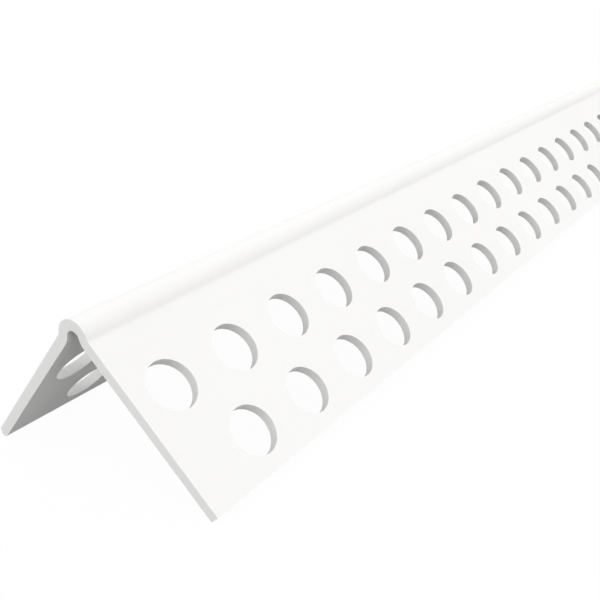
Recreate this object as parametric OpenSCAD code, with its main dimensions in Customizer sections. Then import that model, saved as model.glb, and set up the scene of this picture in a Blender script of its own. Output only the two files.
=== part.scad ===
// Drywall corner bead: a hollow rounded nose between two punched flanges, one extruded piece.
// Millimetres, +Z up, length along X. It lies with the nose up, on the edges of its two flanges.
// The origin is on the floor below the nose, at mid length; the punching starts at the -X end.

/* [Section] */
// Length of the bead
length = 2438.4; // [900:0.1:3100]
// Width of the flange, from the line where the outer faces would meet to the flange's edge
flange = 31.75; // [28:0.05:40]
// Wall thickness
wall = 1.6; // [1:0.1:2.2]
// Angle between the two flanges
corner_angle = 87; // [82:1:94]

/* [Nose] */
// Outer radius of the nose
nose_r = 2.75; // [2.5:0.05:4]
// How far the top of the nose lies below the line where the outer faces would meet
nose_drop = 0.3; // [0.1:0.1:0.6]
// Radius of the hollow crease between the nose and each flange's outer face
crease_r = 1; // [0.4:0.1:2]

/* [Holes] */
// Diameter of the punched holes
hole_d = 7.8; // [4:0.1:9]
// Spacing of the holes along each row
pitch = 13.4; // [12:0.1:20]
// Distance between the two rows on a flange
row_gap = 11.25; // [10:0.25:13]
// Distance from the flange's edge to the middle of its lower row
edge_margin = 6.25; // [6:0.25:8]
// Distance from the -X end to the middle of the first hole in the upper rows
first_hole = 6.8; // [6:0.1:12]

/* [Hidden] */
$fn = 96;
half = corner_angle / 2;
// height of the line where the outer faces would meet, with the flange edges on the floor
apex = flange * cos(half) + wall * sin(half);
// arcs reach this far into the faces that they run into, so that they meet them cleanly
dip = 0.002;
// the left flange's rounded edge, at the width that lets it rest level with the square one
edge_r = wall / 2 + dip;
rounded = (apex - edge_r - wall / 2 * sin(half)) / cos(half);
nose_z = apex - nose_drop - nose_r;
nose_in = (nose_drop + nose_r) * sin(half);
nose_foot = (nose_drop + nose_r) * cos(half);
crease_out = crease_r - dip;
crease_from = nose_foot
    + sqrt(pow(nose_r + crease_r - dip, 2) - pow(nose_in + crease_out, 2));
lower_row = flange - edge_margin;
upper_row = lower_row - row_gap;

// point at a distance along a flange from the meeting line, and outward from its outer face
function at(side, along, out) =
    [side * (along * sin(half) + out * cos(half)), apex - along * cos(half) + out * sin(half)];

// last hole of a row that leaves at least a wall's thickness before the far end
function last_hole(first) = floor((length - first - hole_d / 2 - wall) / pitch);

// a flat shape run along the whole length
module run() {
    translate([-length / 2, 0, 0]) rotate([90, 0, 90]) linear_extrude(length) children();
}

// all that lies under the nose, the creases and the flanges, at a depth inside their outer faces
module under(depth, right, left) {
    run() translate([0, nose_z]) circle(nose_r - depth);
    for (side = [-1, 1]) run() difference() {
        polygon([[0, nose_z], at(side, crease_from, crease_out), at(side, crease_from, -2 * wall)]);
        translate(at(side, crease_from, crease_out)) circle(crease_r + depth);
    }
    run() polygon([[0, nose_z], at(1, nose_foot, -depth), at(1, left, -depth), at(1, left, -2 * wall),
        at(-1, right, -2 * wall), at(-1, right, -depth), at(-1, nose_foot, -depth)]);
}

module hole_row(side, along, first) {
    at_wall = at(side, along, -wall / 2);
    for (i = [0 : last_hole(first)])
        translate([first + i * pitch - length / 2, at_wall[0], at_wall[1]])
            rotate([-side * (90 - half), 0, 0])
                cylinder(h = 3 * wall, d = hole_d, center = true);
}

module corner_bead() {
    color([0.95, 0.95, 0.94]) difference() {
        union() {
            under(0, flange, rounded);
            run() translate(at(1, rounded, -wall / 2)) circle(edge_r);
        }
        under(wall, 2 * flange, 2 * flange);
        for (side = [-1, 1]) {
            hole_row(side, upper_row, first_hole);
            hole_row(side, lower_row, first_hole + pitch / 2);
        }
    }
}

corner_bead();
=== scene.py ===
from math import atan2, cos, pi, radians, sin, sqrt

import bmesh
import bpy
from mathutils import Matrix, Vector


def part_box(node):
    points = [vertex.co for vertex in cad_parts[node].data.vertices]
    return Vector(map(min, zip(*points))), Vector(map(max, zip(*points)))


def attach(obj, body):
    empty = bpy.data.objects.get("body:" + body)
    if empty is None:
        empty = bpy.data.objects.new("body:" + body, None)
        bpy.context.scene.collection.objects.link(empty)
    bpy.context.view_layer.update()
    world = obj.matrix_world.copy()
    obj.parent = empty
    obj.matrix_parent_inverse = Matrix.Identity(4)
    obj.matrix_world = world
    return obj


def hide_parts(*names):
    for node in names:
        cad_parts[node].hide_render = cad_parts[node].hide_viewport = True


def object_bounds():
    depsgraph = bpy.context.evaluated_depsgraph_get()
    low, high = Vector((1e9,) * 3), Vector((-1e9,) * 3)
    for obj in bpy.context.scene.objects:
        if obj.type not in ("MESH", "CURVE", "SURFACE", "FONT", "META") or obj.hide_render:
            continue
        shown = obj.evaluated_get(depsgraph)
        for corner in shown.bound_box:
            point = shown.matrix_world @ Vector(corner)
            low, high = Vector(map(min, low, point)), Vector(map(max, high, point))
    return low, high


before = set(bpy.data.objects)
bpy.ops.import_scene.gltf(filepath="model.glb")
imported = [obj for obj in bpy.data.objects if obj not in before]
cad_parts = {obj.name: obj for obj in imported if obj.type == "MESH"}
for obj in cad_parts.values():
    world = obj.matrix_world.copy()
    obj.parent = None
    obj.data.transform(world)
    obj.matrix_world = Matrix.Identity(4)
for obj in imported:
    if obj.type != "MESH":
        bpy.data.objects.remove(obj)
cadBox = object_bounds()
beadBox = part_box("corner_bead")
nearEnd, farEnd = beadBox[0][0], beadBox[1][0]
floorHeight = cadBox[0][2]
scene = bpy.context.scene
print("frame loaded, bead runs from", round(nearEnd, 4), "to", round(farEnd, 4))


# node trees

class Value:  # one output socket; arithmetic on it adds Math nodes
    def __init__(self, sheet, socket):
        self.sheet, self.socket = sheet, socket

    def maths(self, operation, first, second):
        return self.sheet.add("ShaderNodeMath", {"operation": operation}, {0: first, 1: second})

    def __add__(self, other):
        return self.maths("ADD", self, other)

    def __radd__(self, other):
        return self.maths("ADD", other, self)

    def __sub__(self, other):
        return self.maths("SUBTRACT", self, other)

    def __rsub__(self, other):
        return self.maths("SUBTRACT", other, self)

    def __mul__(self, other):
        return self.maths("MULTIPLY", self, other)

    def __rmul__(self, other):
        return self.maths("MULTIPLY", other, self)

    def atMost(self, other):
        return self.maths("MINIMUM", self, other)


class Sheet:  # a node tree that is filled one node at a time
    def __init__(self, tree):
        self.tree = tree
        tree.nodes.clear()

    def add(self, kind, settings=None, sockets=None, out=0):
        node = self.tree.nodes.new(kind)
        for name, setting in (settings or {}).items():
            if name == "stops":
                self.setStops(node.color_ramp, setting)
            else:
                setattr(node, name, setting)
        for name, value in (sockets or {}).items():
            if isinstance(value, Value):
                self.tree.links.new(value.socket, node.inputs[name])
            else:
                node.inputs[name].default_value = value
        return Value(self, node.outputs[out]) if len(node.outputs) else node

    def setStops(self, ramp, stops):
        while len(ramp.elements) < len(stops):
            ramp.elements.new(1.0)
        for element, (place, shade) in zip(ramp.elements, stops):
            element.position = place
            element.color = (shade, shade, shade, 1.0)

    def noise(self, coords, scale, detail=2.0, roughness=0.5):
        return self.add("ShaderNodeTexNoise", {"noise_dimensions": "3D"},
                        {"Vector": coords, "Scale": scale, "Detail": detail, "Roughness": roughness})

    def ramp(self, value, low, high):
        return self.add("ShaderNodeValToRGB", {"stops": [(low, 0.0), (high, 1.0)]}, {"Fac": value})

    def blend(self, amount, first, second):  # the colour sockets go by number, their names aren't unique
        return self.add("ShaderNodeMix", {"data_type": "RGBA"}, {0: amount, 6: first, 7: second}, out=2)


# white extruded plastic

plastic = {
    "tint": (0.925, 0.919, 0.907, 1.0),
    "paleTint": (0.94, 0.935, 0.925, 1.0),
    "streakTint": (0.9, 0.895, 0.884, 1.0),
    "cutTint": (0.915, 0.914, 0.908, 1.0),
    "cloudsPerMetre": 16.0,
    "cloudRange": (0.35, 0.65),     # noise over which the tint turns pale
    "streaksPerMetre": 1400.0,      # die lines across the section
    "streakLength": 0.35,           # metres
    "streakRange": (0.55, 0.8),     # noise over which a die line takes its tint
    "streakShare": 0.45,            # how much of that tint it takes
    "grainPerMetre": 5200.0,
    "sawLinesPerMetre": 2600.0,
    "sawLineStretch": 30.0,         # times longer than wide
    "sawAngle": 24.0,               # degrees
    "cutShare": 0.8,                # how much of its tint a fresh cut takes
    "roughness": 0.42,
    "streakRoughness": 0.1,         # swing from die line to die line
    "cloudRoughness": 0.12,
    "cutRoughness": 0.18,           # added on a fresh cut
    "noiseMiddle": 0.5,
    "streakHeight": 0.000006,       # metres, as the other heights
    "sawLineHeight": 0.00003,
    "grainHeight": 0.0000035,
    "bumpStrength": 0.6,
    "refraction": 1.53,
    "specular": 0.4,
}


def makePlastic():
    material = bpy.data.materials.new("whiteExtrudedPlastic")
    material.use_nodes = True
    sheet = Sheet(material.node_tree)
    place = sheet.add("ShaderNodeTexCoord", out="Object")
    freshCut = sheet.add("ShaderNodeAttribute", {"attribute_name": "freshCut"}, out="Fac")

    clouds = sheet.noise(place, plastic["cloudsPerMetre"], detail=4.0)
    across = plastic["streaksPerMetre"]
    drawn = sheet.add("ShaderNodeMapping", None, {
        "Vector": place, "Scale": (1 / plastic["streakLength"], across, across)})
    streaks = sheet.noise(drawn, 1.0, detail=3.0, roughness=0.6)
    grain = sheet.noise(place, plastic["grainPerMetre"])
    fine = plastic["sawLinesPerMetre"]
    sawn = sheet.add("ShaderNodeMapping", None, {
        "Vector": place, "Rotation": (radians(plastic["sawAngle"]), 0, 0),
        "Scale": (fine, fine, fine / plastic["sawLineStretch"])})
    sawLines = sheet.noise(sawn, 1.0, detail=3.0, roughness=0.65)

    body = sheet.blend(sheet.ramp(clouds, *plastic["cloudRange"]), plastic["tint"], plastic["paleTint"])
    dieLines = sheet.ramp(streaks, *plastic["streakRange"]) * plastic["streakShare"]
    body = sheet.blend(dieLines, body, plastic["streakTint"])
    colour = sheet.blend(freshCut * plastic["cutShare"], body, plastic["cutTint"])

    streakSwing = plastic["streakRoughness"] * (streaks - plastic["noiseMiddle"])
    cloudSwing = plastic["cloudRoughness"] * (clouds - plastic["noiseMiddle"])
    roughness = plastic["roughness"] + streakSwing + cloudSwing + plastic["cutRoughness"] * freshCut

    extruded = (1 - freshCut) * streaks * plastic["streakHeight"]
    lines = extruded + freshCut * sawLines * plastic["sawLineHeight"]
    bumps = sheet.add("ShaderNodeBump", None, {
        "Strength": plastic["bumpStrength"], "Distance": 1.0,
        "Height": lines + grain * plastic["grainHeight"]})
    shader = sheet.add("ShaderNodeBsdfPrincipled", None, {
        "Base Color": colour, "Roughness": roughness, "Normal": bumps,
        "IOR": plastic["refraction"], "Specular IOR Level": plastic["specular"]})
    sheet.add("ShaderNodeOutputMaterial", None, {"Surface": shader})
    return material


# the bead: a section drawn round its outline, run along X, then punched

bead = {
    "flange": 0.03175,        # from the line where the outer faces would meet to the square edge
    "wall": 0.0016,
    "cornerAngle": 87.0,
    "noseRadius": 0.00275,
    "noseDrop": 0.0003,       # nose top below that meeting line
    "creaseRadius": 0.001,
    "holeRadius": 0.0039,
    "pitch": 0.0134,
    "upperRow": 0.01425,      # along the flange from the meeting line
    "lowerRow": 0.0255,
    "firstHole": 0.0068,
    "punchWalls": 3,          # depth of a punch in walls
    "holeSides": 32,
    "noseSteps": 14,          # per half of the nose
    "creaseSteps": 6,
    "edgeSteps": 6,           # per half of the rounded edge
    "shadeMargin": 0.0004,    # strip beside each arc that keeps the flat faces evenly shaded
    "crispAngle": 28.0,       # degrees, faces that meet at more than this have a crisp edge
    "sawnFacing": 0.99,       # a sawn face looks along the bead at least this squarely
    "sawnMargin": 0.0005,     # and lies within this of the bead's end
    "punchedFacing": 0.1,     # a punched wall looks out of its flange at most this much
    "punchedTop": 0.004,      # and lies below this, over the middle of the upper row
    "punchedFoot": 0.0015,    # and above this, over the floor
    "punchedFreshness": 0.35,   # against 1 on a sawn end
}
half = radians(bead["cornerAngle"] / 2)
wall = bead["wall"]
meetHeight = bead["flange"] * cos(half) + wall * sin(half) + floorHeight
noseCentre = Vector((nearEnd, 0.0, meetHeight - bead["noseDrop"] - bead["noseRadius"]))
noseDepth = bead["noseDrop"] + bead["noseRadius"]
creaseReach = sqrt((bead["noseRadius"] + bead["creaseRadius"]) ** 2
                   - (noseDepth * sin(half) + bead["creaseRadius"]) ** 2)
flatFrom = noseDepth * cos(half) + creaseReach
betweenRows = (bead["upperRow"] + bead["lowerRow"]) / 2
roundedAt = (meetHeight - floorHeight - wall / 2 - wall / 2 * sin(half)) / cos(half)


def onFlange(side, along, out, x=nearEnd):  # side -1 is the flange nearest the camera
    return Vector((x, side * (along * sin(half) + out * cos(half)),
                   meetHeight - along * cos(half) + out * sin(half)))


def lineTo(bm, tip, point):
    tip = bmesh.ops.extrude_vert_indiv(bm, verts=[tip])["verts"][0]
    tip.co = point
    return tip


def arcTo(bm, tip, centre, point, steps):  # the short way round
    start, stop = tip.co - centre, point - centre
    angle = atan2(start.y * stop.z - start.z * stop.y, start.y * stop.y + start.z * stop.z)
    arc = bmesh.ops.spin(bm, geom=[tip], cent=centre, axis=(1, 0, 0), angle=angle, steps=steps)
    return next(v for v in arc["geom_last"] if isinstance(v, bmesh.types.BMVert))


def noseSide(bm, tip, side, depth, outward):  # half of the nose and its crease, from its top or up to it
    creaseCentre = onFlange(side, flatFrom, bead["creaseRadius"])
    noseTop = noseCentre + Vector((0, 0, bead["noseRadius"] - depth))
    joint = noseCentre + (creaseCentre - noseCentre).normalized() * (bead["noseRadius"] - depth)
    if outward:
        tip = arcTo(bm, tip, noseCentre, joint, bead["noseSteps"])
        return arcTo(bm, tip, creaseCentre, onFlange(side, flatFrom, -depth), bead["creaseSteps"])
    tip = arcTo(bm, tip, creaseCentre, joint, bead["creaseSteps"])
    return arcTo(bm, tip, noseCentre, noseTop, bead["noseSteps"])


def drawSection(bm):
    flatStart, flatStop = flatFrom + bead["shadeMargin"], roundedAt - bead["shadeMargin"]
    first = tip = bm.verts.new(onFlange(-1, bead["flange"], 0))
    for along in (betweenRows, flatStart, flatFrom):
        tip = lineTo(bm, tip, onFlange(-1, along, 0))
    tip = noseSide(bm, tip, -1, 0, outward=False)
    tip = noseSide(bm, tip, 1, 0, outward=True)
    for along in (flatStart, betweenRows, flatStop, roundedAt):
        tip = lineTo(bm, tip, onFlange(1, along, 0))
    edgeCentre = onFlange(1, roundedAt, -wall / 2)
    tip = arcTo(bm, tip, edgeCentre, onFlange(1, roundedAt + wall / 2, -wall / 2), bead["edgeSteps"])
    tip = arcTo(bm, tip, edgeCentre, onFlange(1, roundedAt, -wall), bead["edgeSteps"])
    for along in (flatStop, betweenRows, flatStart, flatFrom):
        tip = lineTo(bm, tip, onFlange(1, along, -wall))
    tip = noseSide(bm, tip, 1, wall, outward=False)
    tip = noseSide(bm, tip, -1, wall, outward=True)
    for along in (flatStart, betweenRows, bead["flange"]):
        tip = lineTo(bm, tip, onFlange(-1, along, -wall))
    bm.edges.new((tip, first))
    return bmesh.ops.edgeloop_fill(bm, edges=bm.edges[:])["faces"]


def toObject(bm, name):
    mesh = bpy.data.meshes.new(name)
    bm.to_mesh(mesh)
    bm.free()
    obj = bpy.data.objects.new(name, mesh)
    scene.collection.objects.link(obj)
    return obj


def makeBar():
    bm = bmesh.new()
    run = bmesh.ops.extrude_face_region(bm, geom=drawSection(bm))["geom"]
    moved = [v for v in run if isinstance(v, bmesh.types.BMVert)]
    bmesh.ops.translate(bm, verts=moved, vec=(farEnd - nearEnd, 0, 0))
    lengthwise = [e for e in bm.edges if abs(e.verts[0].co.x - e.verts[1].co.x) > bead["pitch"]]
    cuts = round((farEnd - nearEnd) / bead["pitch"]) - 1
    bmesh.ops.subdivide_edges(bm, edges=lengthwise, cuts=cuts, use_grid_fill=True)
    bmesh.ops.recalc_face_normals(bm, faces=bm.faces)
    return toObject(bm, "unpunchedBar")


def punchRow(bm, side, along, first):
    turn = Matrix.Rotation(-side * (pi / 2 - half), 4, "X")
    spot = Matrix.Translation(onFlange(side, along, -wall / 2, nearEnd + first))
    punch = bmesh.ops.create_cone(bm, cap_ends=True, segments=bead["holeSides"],
                                  radius1=bead["holeRadius"], radius2=bead["holeRadius"],
                                  depth=wall * bead["punchWalls"], matrix=spot @ turn)["verts"]
    more = int((farEnd - nearEnd - first - bead["holeRadius"] - wall) / bead["pitch"])
    faces = list({f for v in punch for f in v.link_faces})
    bmesh.ops.spin(bm, geom=punch + faces, cent=(0, 0, 0), axis=(1, 0, 0), angle=0,
                   dvec=(bead["pitch"], 0, 0), steps=more, use_duplicate=True)
    return more + 1


def makePunches():
    bm = bmesh.new()
    count = 0
    for side in (-1, 1):
        count += punchRow(bm, side, bead["upperRow"], bead["firstHole"])
        count += punchRow(bm, side, bead["lowerRow"], bead["firstHole"] + bead["pitch"] / 2)
    print("punches placed:", count)
    return toObject(bm, "punches")


def freshness(face):  # 1 on a sawn end, less on a punched wall, 0 on what the die made
    centre = face.calc_center_median()
    if abs(face.normal.x) > bead["sawnFacing"] and abs(centre.x) > farEnd - bead["sawnMargin"]:
        return 1.0
    side = -1 if centre.y < 0 else 1
    facing = abs(face.normal.y * side * cos(half) + face.normal.z * sin(half))
    top = onFlange(side, bead["upperRow"], 0).z + bead["punchedTop"]
    inRows = floorHeight + bead["punchedFoot"] < centre.z < top
    return bead["punchedFreshness"] if facing < bead["punchedFacing"] and inRows else 0.0


def finishFaces(mesh):
    bm = bmesh.new()
    bm.from_mesh(mesh)
    manySided = [face for face in bm.faces if len(face.verts) > 4]
    bmesh.ops.triangulate(bm, faces=manySided, ngon_method="BEAUTY")   # no empty ones at the rims
    freshCut = bm.faces.layers.float.new("freshCut")
    for face in bm.faces:
        face.smooth = True
        face[freshCut] = freshness(face)
    bm.to_mesh(mesh)
    bm.free()


def makeBead():
    bar, punches = makeBar(), makePunches()
    cut = bar.modifiers.new("holes", "BOOLEAN")
    cut.object, cut.operation, cut.solver = punches, "DIFFERENCE", "MANIFOLD"
    mesh = bpy.data.meshes.new_from_object(bar.evaluated_get(bpy.context.evaluated_depsgraph_get()))
    for spare in (bar, punches):
        bpy.data.objects.remove(spare)
    finishFaces(mesh)
    mesh.set_sharp_from_angle(angle=radians(bead["crispAngle"]))
    mesh.materials.clear()
    mesh.materials.append(makePlastic())
    obj = bpy.data.objects.new("punchedBead", mesh)
    scene.collection.objects.link(obj)
    print("bead faces:", len(mesh.polygons), "corners:", len(mesh.loops))
    return obj


beadPiece = makeBead()
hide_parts("corner_bead")
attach(beadPiece, "root")


# white floor and soft studio light

studio = {
    "floorSize": 12.0,
    "floorTint": (0.95, 0.95, 0.95, 1.0),
    "floorBounce": (0.1, 0.1, 0.1, 1.0),   # what the floor sends back up to the bead
    "floorGlow": 0.97,        # share of plain white seen by the camera, the rest takes shadow
    "white": (1.0, 1.0, 1.0, 1.0),
    "skyStrength": 0.7,
    "lamps": {                # direction it comes from, strength, spread in degrees
        "front": ((-0.08, -0.9, 0.42), 1.16, 45.0),
        "nearEnd": ((-0.97, 0.05, 0.1), 1.28, 45.0),
        "back": ((-0.15, 0.88, 0.45), 0.68, 45.0),
        "farEnd": ((0.9, 0.1, 0.25), 0.4, 45.0),
    },
}


def seenDirectly(sheet):  # 1 for what the camera sees, also in a mirror or through glass
    rays = [sheet.add("ShaderNodeLightPath", out=name) for name in
            ("Is Camera Ray", "Is Glossy Ray", "Is Transmission Ray")]
    return (rays[0] + rays[1] + rays[2]).atMost(1.0)


def makeFloor():
    bm = bmesh.new()
    bmesh.ops.create_grid(bm, x_segments=1, y_segments=1, size=studio["floorSize"] / 2,
                          matrix=Matrix.Translation((0, 0, floorHeight)))
    floor = toObject(bm, "floor")
    material = bpy.data.materials.new("paleFloor")
    material.use_nodes = True
    sheet = Sheet(material.node_tree)
    direct = seenDirectly(sheet)
    matt = sheet.add("ShaderNodeBsdfDiffuse", None, {
        "Color": sheet.blend(direct, studio["floorBounce"], studio["floorTint"])})
    glow = sheet.add("ShaderNodeEmission", None, {"Color": studio["white"], "Strength": 1.0})
    mixed = sheet.add("ShaderNodeMixShader", None, {0: direct * studio["floorGlow"], 1: matt, 2: glow})
    sheet.add("ShaderNodeOutputMaterial", None, {"Surface": mixed})
    floor.data.materials.append(material)


def makeLight():
    world = bpy.data.worlds.new("studio")
    world.use_nodes = True
    sheet = Sheet(world.node_tree)
    direct = seenDirectly(sheet)
    sky = sheet.add("ShaderNodeBackground", None, {
        "Color": studio["white"], "Strength": direct + (1 - direct) * studio["skyStrength"]})
    sheet.add("ShaderNodeOutputWorld", None, {"Surface": sky})
    scene.world = world
    for name, (comesFrom, strength, spread) in studio["lamps"].items():
        lamp = bpy.data.objects.new(name, bpy.data.lights.new(name, "SUN"))
        lamp.data.energy, lamp.data.angle = strength, radians(spread)
        lamp.rotation_euler = Vector(comesFrom).to_track_quat("Z", "Y").to_euler()
        lamp.visible_glossy = False   # the gloss mirrors the white studio, not the lamps
        scene.collection.objects.link(lamp)


makeFloor()
makeLight()
print("floor and light set")


# camera as in the photograph

view = {
    "fromNearEnd": (-0.0591, -0.07874, 0.06241),   # metres, from the near end's middle on the floor
    "heading": 35.915,        # degrees from +X towards +Y
    "down": 25.9,
    "roll": -3.13,
    "sensor": 36.0,           # millimetres, as the lens
    "lens": 47.73,
    "frameRise": 0.0951,      # the photograph is the upper part of a taller frame
    "nearestSeen": 0.005,
}
camera = bpy.data.objects.new("camera", bpy.data.cameras.new("camera"))
camera.data.sensor_width, camera.data.lens = view["sensor"], view["lens"]
camera.data.shift_y = view["frameRise"]
camera.data.clip_start = view["nearestSeen"]
camera.matrix_world = (Matrix.Translation(Vector((nearEnd, 0, floorHeight)) + Vector(view["fromNearEnd"]))
                       @ Matrix.Rotation(radians(view["heading"] - 90), 4, "Z")
                       @ Matrix.Rotation(radians(90 - view["down"]), 4, "X")
                       @ Matrix.Rotation(radians(view["roll"]), 4, "Z"))
scene.collection.objects.link(camera)
scene.camera = camera
scene.view_settings.view_transform = "Standard"
print("camera set")
